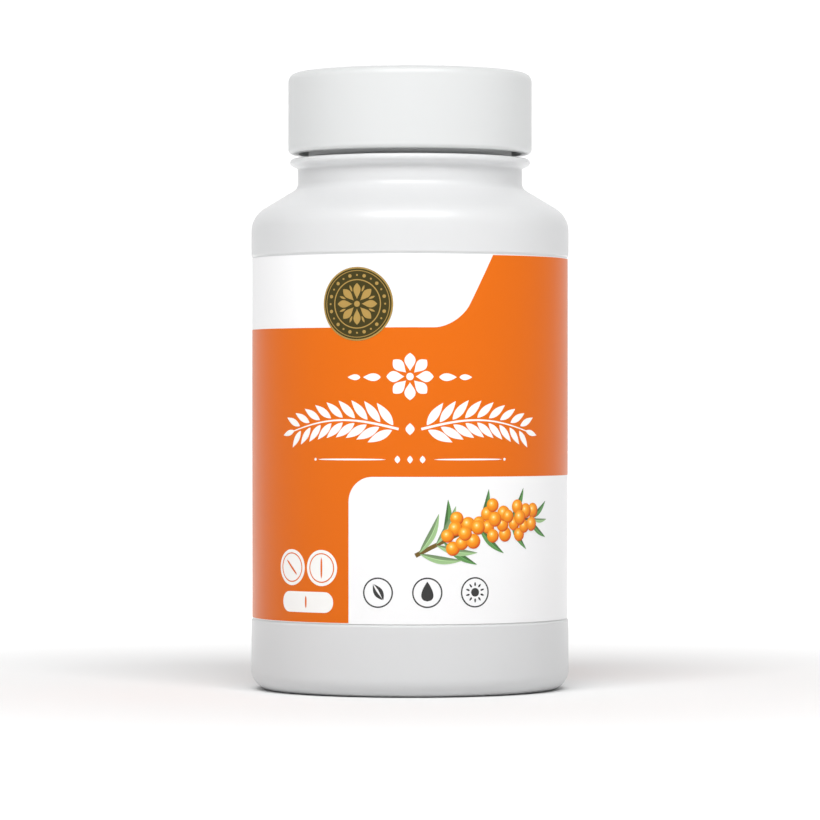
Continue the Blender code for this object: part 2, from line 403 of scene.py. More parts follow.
class Nodes:
    """Adds nodes to one new material, or to a new world, each linked as it is made."""

    def __init__(self, name, library=None, shader="Principled BSDF"):
        library = bpy.data.materials if library is None else library
        self.owner = library.new(name)
        self.owner.use_nodes = True
        self.tree = self.owner.node_tree
        self.shader = self.tree.nodes[shader]

    def add(self, kind, links=(), **settings):
        node = self.tree.nodes.new(f"ShaderNode{kind}")
        for key, value in settings.items():
            setattr(node, key, value)
        for socket, source in dict(links).items():
            if isinstance(source, bpy.types.NodeSocket):
                self.tree.links.new(source, node.inputs[socket])
            else:
                node.inputs[socket].default_value = source
        return node

    def place(self):
        return self.add("TexCoord").outputs["Object"]

    def noise(self, where, scale, detail=2.0):
        node = self.add(
            "TexNoise", {"Vector": where, "Scale": scale, "Detail": detail}
        )
        return node.outputs["Fac"]

    def ranged(self, value, low, high):
        node = self.add("MapRange", {"Value": value, "To Min": low, "To Max": high})
        return node.outputs["Result"]

    def stepped(self, value, start, end, height=1.0):
        """A soft step from 0 up to a height, as a value goes from start to end."""
        node = self.add(
            "MapRange",
            {"Value": value, "From Min": start, "From Max": end, "To Max": height},
            interpolation_type="SMOOTHSTEP",
        )
        return node.outputs["Result"]

    def mixed(self, share, first, second):
        node = self.add("Mix", data_type="RGBA")
        node.inputs[6].default_value = (*first, 1)
        node.inputs[7].default_value = (*second, 1)
        self.tree.links.new(share, node.inputs[0])
        return node.outputs[2]

    def ramped(self, value, stops):
        """A colour read off a ramp, whose stops are (place, colour) from its start to its end."""
        ramp = self.add("ValToRGB", {"Fac": value})
        elements = ramp.color_ramp.elements
        for place, _ in stops[1:-1]:
            elements.new(place)
        for element, (place, paint) in zip(elements, stops):
            element.position, element.color = place, (*paint, 1)
        return ramp.outputs["Color"]

    def clouded(self, share, colour, spread):
        """A colour made a little darker and lighter by a share that varies from 0 to 1."""
        return self.mixed(share, shade(colour, 1 - spread), shade(colour, 1 + spread))

    def bumped(self, height, distance, onto=None):
        node = self.add("Bump", {"Height": height, "Distance": distance})
        if onto is not None:
            self.tree.links.new(onto, node.inputs["Normal"])
        return node.outputs["Normal"]

    def feed(self, **sockets):
        """Sets or links the shader's sockets, named with _ for each space."""
        for name, value in sockets.items():
            socket = self.shader.inputs[name.replace("_", " ")]
            if isinstance(value, bpy.types.NodeSocket):
                self.tree.links.new(value, socket)
            else:
                socket.default_value = value
        return self.owner


def shade(colour, share):
    """A colour made darker or lighter by a share."""
    return tuple(min(1.0, channel * share) for channel in colour)


def moulded_plastic(name, colour, roughness, pebble, scatter):
    """White plastic with a soft sheen, faint clouds in its colour and a fine moulded skin."""
    nodes = Nodes(name)
    where = nodes.place()
    clouds = nodes.noise(where, 60, 3)
    skin = nodes.noise(where, 1100, 2)
    waves = nodes.bumped(nodes.noise(where, 90, 1), 0.00004)
    return nodes.feed(
        Base_Color=nodes.clouded(clouds, colour, 0.015),
        Roughness=nodes.ranged(clouds, roughness - 0.03, roughness + 0.03),
        Normal=nodes.bumped(skin, pebble, onto=waves),
        IOR=1.5,
        Specular_IOR_Level=0.4,
        Subsurface_Weight=scatter,
        Subsurface_Radius=(1.0, 0.95, 0.9),
        Subsurface_Scale=0.0012,
    )


def foam_board(name, colour):
    """Dull foam with fine open pores."""
    nodes = Nodes(name)
    where = nodes.place()
    cells = nodes.add("TexVoronoi", {"Vector": where, "Scale": 2600.0})
    pores = nodes.ranged(cells.outputs["Distance"], 0.0, 1.0)
    return nodes.feed(
        Base_Color=nodes.mixed(pores, shade(colour, 0.93), shade(colour, 1.02)),
        Roughness=0.85,
        Normal=nodes.bumped(pores, 0.00003),
    )


def varnished(name, colour, roughness=INK_ROUGHNESS, speckle=0.02):
    """Ink or bare film under a gloss varnish: a fine print grain and a slightly wavy film."""
    nodes = Nodes(name)
    where = nodes.place()
    grain = nodes.noise(where, 5200, 1)
    sweep = nodes.noise(where, 45, 1)
    return nodes.feed(
        Base_Color=nodes.clouded(grain, colour, speckle),
        Roughness=nodes.ranged(sweep, roughness - 0.03, roughness + 0.03),
        Normal=nodes.bumped(sweep, 0.00005),
        IOR=1.5,
        Specular_IOR_Level=PRINT_GLOSS,
    )


def dome(above=0.0):
    """Points across the base's dome, from near its middle to its edge."""
    shares = [i / DOME_STEPS for i in range(1, DOME_STEPS + 1)]
    return [
        (DOME_RADIUS * share, above + DOME_TOP - (DOME_TOP - DOME_EDGE) * share**2)
        for share in shares
    ]


def base_outline(sizes):
    """From the moulding pip in the middle of the base to the end of the heel."""
    pip = [(0.5 * MM, 2.2 * MM), (0.9 * MM, 2.22 * MM), (1.1 * MM, 2.38 * MM)]
    foot = eased((18.9 * MM, 0.72 * MM), (RING_RADIUS, 0.0), 5)
    heel = arc(sizes.body_radius - sizes.heel, sizes.heel, sizes.heel, -pi / 2, 0, 14)
    return pip + dome() + foot + heel


def body_outline(sizes, label):
    """Side wall with the panel sunk into it for the label, and the shoulder's round corner."""
    wall, panel = sizes.body_radius, sizes.body_radius - sizes.panel_depth
    turn = pi / 2 - sizes.slope
    ledge = 0.35 * MM
    clear = 0.15 * MM
    lower = eased((wall, label.bottom - clear - ledge), (panel, label.bottom - clear))
    upper = eased((panel, label.top + clear), (wall, label.top + clear + ledge))
    corner = arc(wall - sizes.shoulder, sizes.shoulder_height, sizes.shoulder, 0, turn, 16)
    return lower + upper + corner


def slope_height(sizes, radius):
    """Height of the shoulder's cone at a radius."""
    turn = pi / 2 - sizes.slope
    start = sizes.body_radius - sizes.shoulder * (1 - cos(turn))
    height = sizes.shoulder_height + sizes.shoulder * sin(turn)
    return height + (start - radius) * tan(sizes.slope)


def neck_outline(sizes):
    """From the fillet under the neck, over the bead, to the mouth's rounded rim."""
    turn = pi / 2 - sizes.slope
    fillet = 1.6 * MM
    root_height = slope_height(sizes, sizes.neck_radius) + fillet * tan(turn / 2)
    root = arc(sizes.neck_radius + fillet, root_height, fillet, pi + turn, pi, 8)
    low = BEAD_SLANT - pi / 2
    bead = arc(
        sizes.bead_radius - BEAD_TIP, BEAD_TOP - BEAD_TIP, BEAD_TIP, low, radians(85), 12
    )
    under = 0.5 * MM
    under_end = sizes.neck_radius + under * (1 - sin(BEAD_SLANT))
    under_height = bead[0][1] - (bead[0][0] - under_end) * tan(BEAD_SLANT)
    under_bead = arc(
        sizes.neck_radius + under, under_height - under * cos(BEAD_SLANT), under,
        pi, pi / 2 + BEAD_SLANT, 4,
    )
    inner_corner = 0.4 * MM
    seat = arc(
        FINISH_RADIUS + inner_corner, BEAD_TOP + inner_corner, inner_corner,
        1.5 * pi, pi, 4,
    )
    rim = 0.35 * MM
    lip_out = arc(FINISH_RADIUS - rim, sizes.rim_height - rim, rim, 0, pi / 2, 5)
    lip_in = arc(sizes.bore_radius + rim, sizes.rim_height - rim, rim, pi / 2, pi, 5)
    return root + under_bead + bead + seat + lip_out + lip_in


def inside_outline(sizes, label):
    """Down the bore, under the shoulder, down the wall and across the floor."""
    turn = pi / 2 - sizes.slope
    wall = sizes.body_radius - sizes.wall
    panel = wall - sizes.panel_depth
    corner = arc(
        sizes.body_radius - sizes.shoulder, sizes.shoulder_height, sizes.shoulder - sizes.wall,
        turn, 0, 10,
    )
    neck_base = slope_height(sizes, NECK_INNER_RADIUS) - sizes.wall / cos(sizes.slope)
    neck = eased(
        (sizes.bore_radius, BEAD_BOTTOM + 0.4 * MM), (NECK_INNER_RADIUS, BEAD_BOTTOM - 2 * MM), 5
    )
    upper = eased((wall, label.top + 1.2 * MM), (panel, label.top + 0.2 * MM), 4)
    lower = eased((panel, label.bottom - 0.2 * MM), (wall, label.bottom - 1.2 * MM), 4)
    heel = sizes.heel - sizes.wall
    bend = arc(wall - heel, FLOOR + heel, heel, 0, -pi / 2, 8)
    return (
        neck + [(NECK_INNER_RADIUS, neck_base)] + corner + upper + lower + bend
        + [(RING_RADIUS, FLOOR)] + dome(FLOOR)[::-1]
    )


def raise_parting_line(bottle, sizes):
    """A faint ridge up both sides and across the base, where the mould's halves met."""

    def on_outside(edge):
        middle = 0.5 * (edge.verts[0].co + edge.verts[1].co)
        if any(abs(vertex.co.y) > 1e-7 for vertex in edge.verts) or len(edge.link_faces) != 2:
            return False
        facing = edge.link_faces[0].normal + edge.link_faces[1].normal
        on_wall = 0.7 * MM < middle.z < BEAD_BOTTOM - 0.4 * MM
        on_base = 1.5 * MM < abs(middle.x) < 17.5 * MM and middle.z < 2.5 * MM
        if on_wall:
            return facing.x * middle.x > 0.1 * abs(middle.x)
        return on_base and facing.z < -1

    with editing(bottle, "EDGE"):
        pick(bottle, "edges", on_outside)
        bpy.ops.mesh.bevel(offset=0.5 * PARTING_WIDTH, segments=2, affect="EDGES")
        pick(bottle, "edges", lambda edge: edge.link_faces and on_outside(edge))
        share = 1 + PARTING_HEIGHT / sizes.body_radius
        bpy.ops.transform.resize(value=(share, 1, 1), center_override=(0, 0, 0))


class TABLET_OT_bottle(bpy.types.Operator):
    """Turn the hollow body with its base, panel, shoulder, neck and thread"""

    bl_idname = "tablet.bottle"
    bl_label = "Bottle"

    def execute(self, context):
        sizes, label = context.scene.tablet_bottle, context.scene.tablet_label
        outline = (
            base_outline(sizes) + body_outline(sizes, label) + neck_outline(sizes)
            + inside_outline(sizes, label)
        )
        piece = turned(supported(outline))
        raise_parting_line(piece, sizes)
        unite(piece, thread(FINISH_RADIUS, NECK_THREAD_RADIUS, NECK_THREAD_TOP))
        colour = context.scene.tablet_colours.bottle
        finish = moulded_plastic("bottle_plastic", colour, 0.30, 0.000004, 0.12)
        finish_piece(piece, "bottle_body", finish, "bottle", "bottle_plastic", "bottle")
        return {"FINISHED"}


def cap_outline(sizes):
    """From the middle of the top, down the skirt, and up the inside to its ceiling."""
    top, panel, inside = sizes.top, sizes.panel_radius, sizes.inner_radius
    sunk = top - sizes.panel_depth
    gate = [(0.5 * MM, sunk - 0.12 * MM), (0.9 * MM, sunk - 0.11 * MM), (1.15 * MM, sunk)]
    lip = eased((panel - 0.5 * MM, sunk), (panel, top), 5)
    edge = arc(sizes.radius - sizes.edge, top - sizes.edge, sizes.edge, pi / 2, 0, 12)
    hem = arc(sizes.radius - HEM, HEM_BOTTOM + HEM, HEM, 0, radians(-70), 8)
    foot = [
        (inside + HEM, HEM_BOTTOM), (inside + 0.1 * MM, HEM_BOTTOM),
        (inside, HEM_BOTTOM + 0.1 * MM),
    ]
    ceiling = LINER_HIGH.z + CLEARANCE
    corner = 0.5 * MM
    inner = arc(inside - corner, ceiling - corner, corner, 0, pi / 2, 5)
    return gate + lip + edge + hem + foot + inner + [(2 * MM, ceiling)]


class TABLET_OT_cap(bpy.types.Operator):
    """Turn the screw cap with its sunk top, rounded hem and inside thread"""

    bl_idname = "tablet.cap"
    bl_label = "Cap"

    def execute(self, context):
        sizes = context.scene.tablet_cap
        piece = turned(supported(cap_outline(sizes)))
        top = NECK_THREAD_TOP - CAP_THREAD_DROP
        unite(piece, thread(sizes.inner_radius, CAP_THREAD_RADIUS, top))
        colour = context.scene.tablet_colours.cap
        finish = moulded_plastic("cap_plastic", colour, 0.36, 0.000005, 0.08)
        finish_piece(piece, "cap_shell", finish, "cap", "cap_plastic", "cap")
        return {"FINISHED"}


class TABLET_OT_liner(bpy.types.Operator):
    """Turn the foam liner, with the rim's faint print in its lower face"""

    bl_idname = "tablet.liner"
    bl_label = "Liner"

    def execute(self, context):
        low, high, radius = LINER_LOW.z, LINER_HIGH.z, LINER_HIGH.x
        rounding, dent = 0.2 * MM, 0.06 * MM
        rim_inner, rim_outer = 16.4 * MM, 17.5 * MM
        outline = [(2 * MM, low), (rim_inner - 0.3 * MM, low)]
        outline += [(rim_inner, low + dent), (rim_outer, low + dent), (rim_outer + 0.3 * MM, low)]
        outline += arc(radius - rounding, low + rounding, rounding, -pi / 2, 0, 4)
        outline += arc(radius - rounding, high - rounding, rounding, 0, pi / 2, 4)
        outline += [(2 * MM, high)]
        piece = turned(supported(outline))
        finish = foam_board("liner_board", context.scene.tablet_colours.liner)
        finish_piece(piece, "cap_liner_disc", finish, "liner", "liner_board", "cap_liner")
        return {"FINISHED"}


def label_radius(context):
    """Radius of the film's back, which lies on the bottle's panel."""
    sizes = context.scene.tablet_bottle
    return sizes.body_radius - sizes.panel_depth + 0.01 * MM


def label_half_width(context):
    return pi * label_radius(context) - 0.5 * context.scene.tablet_label.gap


def slice_upright(piece, step=SLICE):
    """Cuts a flat piece into narrow strips, so that it can follow the bottle's round wall."""
    across = [vertex.co.x for vertex in piece.data.vertices]
    first, last = ceil(min(across) / step + 0.01), floor(max(across) / step - 0.01)
    with editing(piece):
        for i in range(first, last + 1):
            bpy.ops.mesh.select_all(action="SELECT")
            bpy.ops.mesh.bisect(plane_co=(i * step, 0, 0), plane_no=(1, 0, 0))


def wrap(context, piece, level):
    """Stands a flat piece up and bends it round the bottle, at a level of the label's print.

    Flat, X runs round the bottle, Y is its height and Z its thickness. Level 0 is the film.
    """
    radius = label_radius(context)
    tidy_mesh(piece)
    if level == 0:
        height, out = FILM_THICKNESS, 0.0
    else:
        height, out = INK_RISE + INK_SUNK, FILM_THICKNESS + INK_RISE * (level - 1) - INK_SUNK
    apply_modifier(
        piece, "SOLIDIFY", thickness=height, offset=1, use_even_offset=False, use_rim=True
    )
    piece.location.y -= out
    piece.rotation_euler.x = pi / 2
    apply_place(piece)
    across = [vertex.co.x for vertex in piece.data.vertices]
    apply_modifier(
        piece, "SIMPLE_DEFORM", deform_method="BEND", deform_axis="Z",
        angle=(max(across) - min(across)) / radius,
    )
    piece.location.y = -radius
    apply_place(piece)
    tidy_mesh(piece, 1e-7)


def print_ink(context, piece, name, finish, level, sliced=False):
    """Wraps one flat print round the label and finishes it as part of the label."""
    if sliced:
        slice_upright(piece)
    wrap(context, piece, level)
    finish_piece(piece, name, finish, "bottle", "label_film")


def outlined(knots):
    """A flat filled patch from curve knots (x, y, handle x, handle y), in millimetres.

    Handles run both ways from a knot. A knot with no handles is a corner.
    """
    bpy.ops.object.select_all(action="DESELECT")
    bpy.ops.curve.primitive_bezier_circle_add(radius=1)
    curve = bpy.context.object
    curve.data.dimensions = "2D"
    curve.data.fill_mode = "BOTH"
    curve.data.resolution_u = 14
    points = curve.data.splines[0].bezier_points
    points.add(len(knots) - len(points))
    for point, (x, y, along, up) in zip(points, knots):
        point.handle_left_type = point.handle_right_type = "FREE"
        place, handle = Vector((x, y, 0)) * MM, Vector((along, up, 0)) * MM
        point.co = place
        point.handle_left, point.handle_right = place - handle, place + handle
    bpy.ops.object.convert(target="MESH")
    return bpy.context.object


def bar(left, top, right, bottom):
    """A flat upright rectangle, in millimetres."""
    middle = (0.5 * (left + right) * MM, 0.5 * (top + bottom) * MM, 0)
    piece = added("plane", size=MM, location=middle)
    piece.scale = (right - left, top - bottom, 1)
    apply_place(piece)
    return piece


def rounded(left, bottom, right, top, corner):
    """A flat upright rectangle with rounded corners, in millimetres."""
    handle = ROUND * corner
    return outlined([
        (left, bottom + corner, 0, -handle), (left + corner, bottom, handle, 0),
        (right - corner, bottom, handle, 0), (right, bottom + corner, 0, handle),
        (right, top - corner, 0, handle), (right - corner, top, -handle, 0),
        (left + corner, top, -handle, 0), (left, top - corner, 0, -handle),
    ])


def capsule(x, y, half_length, radius):
    """A flat bar with round ends, in millimetres."""
    handle = radius * 4 / 3
    reach = half_length - radius
    return outlined([
        (x - reach, y + radius, -handle, 0), (x - reach, y - radius, handle, 0),
        (x + reach, y - radius, handle, 0), (x + reach, y + radius, -handle, 0),
    ])


def disc(radius, x=0.0, y=0.0, sides=40):
    """A flat round patch with a centre, in millimetres."""
    middle = (x * MM, y * MM, 0)
    piece = added(
        "circle", vertices=sides, radius=radius * MM, fill_type="TRIFAN", location=middle
    )
    with editing(piece, whole=True):
        bpy.ops.mesh.subdivide(number_cuts=1)
    apply_place(piece)
    return piece


def band(outer, inner, x=0.0, y=0.0, sides=72):
    """A flat ring, in millimetres."""
    middle = (x * MM, y * MM, 0)
    piece = added(
        "circle", vertices=sides, radius=outer * MM, fill_type="NOTHING", location=middle
    )
    with editing(piece, "EDGE", whole=True):
        bpy.ops.mesh.extrude_region_move()
        share = inner / outer
        bpy.ops.transform.resize(value=(share, share, 1), center_override=middle)
    apply_place(piece)
    return piece


def blade(length, width, belly=0.5, fullness=1.0, arch=0.0, rows=10):
    """A flat leaf, petal or stem from the origin up along +Y, in millimetres.

    It is widest at belly, a share of its length, and bows to +X by arch. A low fullness makes it
    a bar with blunt ends.
    """
    piece = added("grid", x_subdivisions=4, y_subdivisions=rows, size=1)
    sharpen = log(0.5) / log(belly)
    for vertex in piece.data.vertices:
        along = min(1.0, max(0.0, vertex.co.y + 0.5))
        half = 0.5 * width * sin(pi * along**sharpen) ** fullness
        vertex.co.x = (2 * vertex.co.x * half + arch * sin(pi * along)) * MM
        vertex.co.y = length * along * MM
    tidy_mesh(piece)
    return piece


def placed(pattern, places):
    """Copies of a flat pattern, each at (x, y, turn in degrees, size), joined into one piece."""
    copies = []
    for x, y, turn, size in places:
        copy = pattern.copy()
        copy.data = pattern.data.copy()
        copy.location = (x * MM, y * MM, 0)
        copy.rotation_euler.z = radians(turn)
        copy.scale = (size, size, 1)
        bpy.context.collection.objects.link(copy)
        copies.append(copy)
    bpy.data.objects.remove(pattern)
    return joined(copies)


def joined(parts):
    """Several flat pieces as one, with their places in the mesh."""
    bpy.ops.object.select_all(action="DESELECT")
    for part in parts:
        part.select_set(True)
    bpy.context.view_layer.objects.active = parts[0]
    bpy.ops.object.transform_apply(location=True, rotation=True, scale=True)
    bpy.ops.object.join()
    return bpy.context.object


class TABLET_OT_film(bpy.types.Operator):
    """Lay the white film of the label round the body, with rounded ends at the back"""

    bl_idname = "tablet.film"
    bl_label = "Label film"

    def execute(self, context):
        label = context.scene.tablet_label
        half = label_half_width(context)
        piece = added("plane", size=2, location=(0, 0.5 * (label.bottom + label.top), 0))
        piece.scale = (half, 0.5 * (label.top - label.bottom), 1)
        apply_place(piece)
        with editing(piece, whole=True):
            bpy.ops.mesh.bevel(offset=label.corner, segments=6, affect="VERTICES")
        slice_upright(piece)
        wrap(context, piece, 0)
        finish = varnished("film_white", context.scene.tablet_colours.film, 0.30, 0.006)
        finish_piece(piece, "label_film", finish, "bottle", "label_film", "label")
        return {"FINISHED"}


class TABLET_OT_fields(bpy.types.Operator):
    """Print the orange field, which leaves white windows, and the ruled table at the back"""

    bl_idname = "tablet.fields"
    bl_label = "Orange field"

    def execute(self, context):
        label, colours = context.scene.tablet_label, context.scene.tablet_colours
        margin = label.margin / MM
        end = label_half_width(context) / MM - margin
        low, high = label.bottom / MM + margin, label.top / MM - margin
        corner = label.corner / MM - margin
        handle = ROUND * corner
        upper, lower, side, window = 62.15, 37.1, -10.55, 4.2
        field = outlined([
            (-end, low + corner, 0, -handle), (-end + corner, low, handle, 0),
            (side, low, 0, 0), (side, lower - window, 0, 2.3), (side + window, lower, 2.3, 0),
            (52.0, lower, 6.0, 0.0), (64.0, 25.0, 1.4, -7.0), (66.0, low, 0, 0),
            (end - corner, low, handle, 0), (end, low + corner, 0, handle), (end, upper, 0, 0),
            (66.0, 65.0, -5.0, 2.0), (54.0, high, 0, 0), (14.6, high, 0, 0),
            (10.3, 66.1, -1.1, -2.1), (4.0, upper, -2.4, 0), (-end, upper, 0, 0),
        ])
        orange = varnished("ink_orange", colours.orange)
        print_ink(context, field, "label_orange_field", orange, 1, sliced=True)
        self.print_table(context, colours)
        return {"FINISHED"}

    def print_table(self, context, colours):
        """An empty ruled table on a white panel."""
        panel = rounded(-78.0, 18.0, -48.0, 54.0, 2.0)
        paper = varnished("ink_panel_white", colours.white, 0.34, 0.006)
        print_ink(context, panel, "label_note_panel", paper, 2, sliced=True)
        left, right, top, row, rows = -76.2, -49.8, 51.4, 3.2, 10
        fine, strong, nudge = 0.16, 0.5, 0.01
        parts = []
        for i in range(rows + 1):
            weight = strong if i in (1, rows - 1) else fine
            parts.append(bar(left, top - row * i, right, top - row * i - weight))
        columns = ((left + nudge, 0), (-59.0, 1), (-53.6, 1), (right - fine - nudge, 0))
        for x, first in columns:
            parts.append(bar(x, top - row * first - nudge, x + fine, top - row * rows - nudge))
        grey = varnished("ink_table_grey", colours.grey, INK_ROUGHNESS, 0.05)
        print_ink(context, joined(parts), "label_note_table", grey, 3, sliced=True)


class TABLET_OT_seal(bpy.types.Operator):
    """Print the round olive seal with its gold rings, dots and rosette"""

    bl_idname = "tablet.seal"
    bl_label = "Seal"

    def execute(self, context):
        colours = context.scene.tablet_colours
        x, y, radius = -9.0, 66.1, 6.2
        ring, dots = 4.85, 24
        olive = varnished("ink_olive", colours.olive, 0.30, 0.06)
        print_ink(context, disc(radius, x, y, 96), "label_seal_ground", olive, 3, sliced=True)
        parts = [
            band(radius - 0.02, radius - 0.26, x, y),
            band(radius - 0.55, radius - 0.66, x, y),
            band(4.15, 3.97, x, y),
            disc(0.5, x, y, 20),
        ]
        for i in range(dots):
            a = 2 * pi * i / dots
            size = 0.30 if i % 2 else 0.17
            parts.append(disc(size, x + ring * cos(a), y + ring * sin(a), 12))
        parts.append(placed(blade(2.7, 1.25, 0.6, 0.9, 0, 18), around(x, y, 0.8, 8)))
        parts.append(placed(blade(1.2, 0.36, 0.5, 0.8, 0, 8), around(x, y, 2.2, 8, 22.5)))
        gold = varnished("ink_gold", colours.gold, 0.26, 0.05)
        print_ink(context, joined(parts), "label_seal_gold", gold, 4, sliced=True)
        return {"FINISHED"}


def around(x, y, radius, count, first=0.0):
    """Places for placed(), spread evenly round a point and facing away from it."""
    places = []
    for i in range(count):
        turn = first + 360 * i / count
        a = radians(turn + 90)
        places.append((x + radius * cos(a), y + radius * sin(a), turn, 1))
    return places


def along_branch(start, end, rise, share, aside=0.0):
    """A point along an arched branch, or to its right, with its heading in degrees from +Y."""
    run_x, run_y = end[0] - start[0], end[1] - start[1]
    heading = atan2(run_y + rise * pi * cos(pi * share), run_x) - pi / 2
    x = start[0] + run_x * share + aside * cos(heading)
    y = start[1] + run_y * share + rise * sin(pi * share) + aside * sin(heading)
    return x, y, degrees(heading)


def stem(start, end, rise, width, rows=28):
    """A flat branch that thins towards its end, in millimetres."""
    piece = added("grid", x_subdivisions=2, y_subdivisions=rows, size=1)
    for vertex in piece.data.vertices:
        along = vertex.co.y + 0.5
        half = 0.5 * width * (1 - 0.6 * along)
        x, y, _ = along_branch(start, end, rise, along, 2 * vertex.co.x * half)
        vertex.co = (x * MM, y * MM, 0)
    return piece


def leaf_places(start, end, rise, shares, tilt, gap, shrink=0.3):
    """Places of leaves in pairs along a branch, smaller towards its end."""
    places = []
    for share in shares:
        for side in (-1, 1):
            x, y, heading = along_branch(start, end, rise, share, side * gap)
            places.append((x, y, heading - side * tilt, 1 - shrink * share))
    return places


class TABLET_OT_garland(bpy.types.Operator):
    """Print the white flower, the garland under it and the fine rule"""

    bl_idname = "tablet.garland"
    bl_label = "Garland"

    def execute(self, context):
        flower = 53.9
        parts = [disc(0.62, 0, flower, 24)]
        parts.append(placed(blade(3.0, 1.85, 0.6, 0.85, 0, 20), around(0, flower, 0.95, 8)))
        for side in (-1, 1):
            buds = [
                (side * 4.9, flower - 0.1, -90 * side, 1),
                (side * 8.4, flower - 0.1, -90 * side, 0.75),
            ]
            parts.append(placed(blade(3.0, 1.3, 0.42, 0.9, 0, 14), buds))
            start, end, rise = (side * 1.9, 45.1), (side * 22.0, 44.7), 1.7
            shares = [0.05 + 0.108 * i for i in range(9)]
            leaves = leaf_places(start, end, rise, shares, 40, 0.42)
            leaves.append((*along_branch(start, end, rise, 0.985), 0.62))
            parts.append(placed(blade(4.7, 1.5, 0.45, 0.95, 0, 16), leaves))
            parts.append(stem(start, end, rise, 0.42))
        parts.append(placed(blade(2.0, 1.5, 0.5, 1.0, 0, 8), [(0, 44.1, 0, 1)]))
        white = varnished("ink_white", context.scene.tablet_colours.white, 0.32, 0.006)
        print_ink(context, joined(parts), "label_garland", white, 2)
        level = 40.0
        drops = [(x, level - 0.65, 0, 1) for x in (-2.1, 0, 2.1)]
        rule = [placed(blade(1.3, 0.95, 0.5, 1.0, 0, 4), drops)]
        for side in (-1, 1):
            line = blade(12.4, 0.30, 0.5, 0.35, 0, 16)
            rule.append(placed(line, [(side * 4.0, level, side * -90, 1)]))
            rule.append(disc(0.24, side * 16.9, level, 12))
        print_ink(context, joined(rule), "label_rule", white, 2)
        return {"FINISHED"}


class TABLET_OT_tablets(bpy.types.Operator):
    """Print the sign for tablets: two round ones over an oblong one, each with its score"""

    bl_idname = "tablet.tablets"
    bl_label = "Tablet sign"

    def execute(self, context):
        middle, y, radius = -19.0, 21.7, 3.05
        bar_y, bar_radius = 15.9, 1.75
        centres = (middle - 3.3, middle + 3.3)
        parts = [disc(radius, x, y, 64) for x in centres]
        parts.append(capsule(middle, bar_y, 5.6, bar_radius))
        white = varnished("ink_sign_white", context.scene.tablet_colours.white, 0.32, 0.006)
        print_ink(context, joined(parts), "label_tablet_sign", white, 2, sliced=True)
        marks = [band(radius - 0.55, radius - 0.73, x, y, 48) for x in centres]
        score = blade(3.6, 0.34, 0.5, 0.3, 0, 8)
        marks.append(placed(score, [
            (centres[0] + 1.27, y - 1.27, 45, 1), (centres[1], y - 1.8, 0, 1),
        ]))
        marks.append(placed(blade(2.1, 0.34, 0.5, 0.3, 0, 8), [(middle, bar_y - 1.05, 0, 1)]))
        orange = varnished("ink_sign_orange", context.scene.tablet_colours.orange)
        print_ink(context, joined(marks), "label_tablet_scores", orange, 3)
        return {"FINISHED"}


class TABLET_OT_icons(bpy.types.Operator):
    """Print the three small grey icons: a leaf, a drop and a sun"""

    bl_idname = "tablet.icons"
    bl_label = "Icons"

    def execute(self, context):
        y, radius = 17.7, 2.55
        leaf_x, drop_x, sun_x = -5.4, 2.9, 11.2
        parts = [band(radius, radius - 0.24, x, y, 64) for x in (leaf_x, drop_x, sun_x)]
        for bow, aside in ((0.42, 0.92), (-0.42, 0.80)):
            half_leaf = blade(3.1, 0.62, 0.42, 0.9, bow, 14)
            parts.append(placed(half_leaf, [(leaf_x + aside, y - 1.2, 32, 1)]))
        parts.append(placed(blade(3.3, 2.05, 0.3, 0.85, 0, 24), [(drop_x, y - 1.45, 0, 1)]))
        parts.append(disc(0.72, sun_x, y, 24))
        parts.append(placed(blade(0.72, 0.32, 0.4, 0.6, 0, 6), around(sun_x, y, 1.02, 10)))
        grey = varnished("ink_grey", context.scene.tablet_colours.grey, 0.32, 0.05)
        print_ink(context, joined(parts), "label_icons", grey, 1)
        return {"FINISHED"}


def shaded_ink(nodes, value, stops):
    """Ink whose colour is read off a ramp, under the print's varnish."""
    return nodes.feed(
        Base_Color=nodes.ramped(value, stops), Roughness=INK_ROUGHNESS, IOR=1.5,
        Specular_IOR_Level=PRINT_GLOSS,
    )


def leaf_ink(name, colour):
    """Green ink that is lighter along the leaf's midrib and darker on one half."""
    nodes = Nodes(name)
    across = nodes.add("SeparateXYZ", {0: nodes.add("UVMap").outputs[0]})
    shades = ((0.0, 0.62), (0.44, 0.9), (0.50, 2.4), (0.56, 1.3), (1.0, 1.5))
    stops = [(place, shade(colour, share)) for place, share in shades]
    return shaded_ink(nodes, across.outputs["X"], stops)


def fruit_ink(name, colour):
    """Orange ink shaded as a ball: pale where the light falls, deep red-orange at the edge."""
    nodes = Nodes(name)
    centred = nodes.add(
        "Mapping",
        {"Vector": nodes.add("UVMap").outputs[0], "Location": (-0.38, -0.64, 0)},
    )
    away = nodes.add("VectorMath", {0: centred.outputs[0]}, operation="LENGTH")
    return shaded_ink(nodes, away.outputs["Value"], [
        (0.03, (1.0, 0.84, 0.50)), (0.10, (0.98, 0.56, 0.09)), (0.28, colour),
        (0.46, shade(colour, 0.82)), (0.57, (0.70, 0.12, 0.010)), (0.68, (0.42, 0.045, 0.004)),
    ])


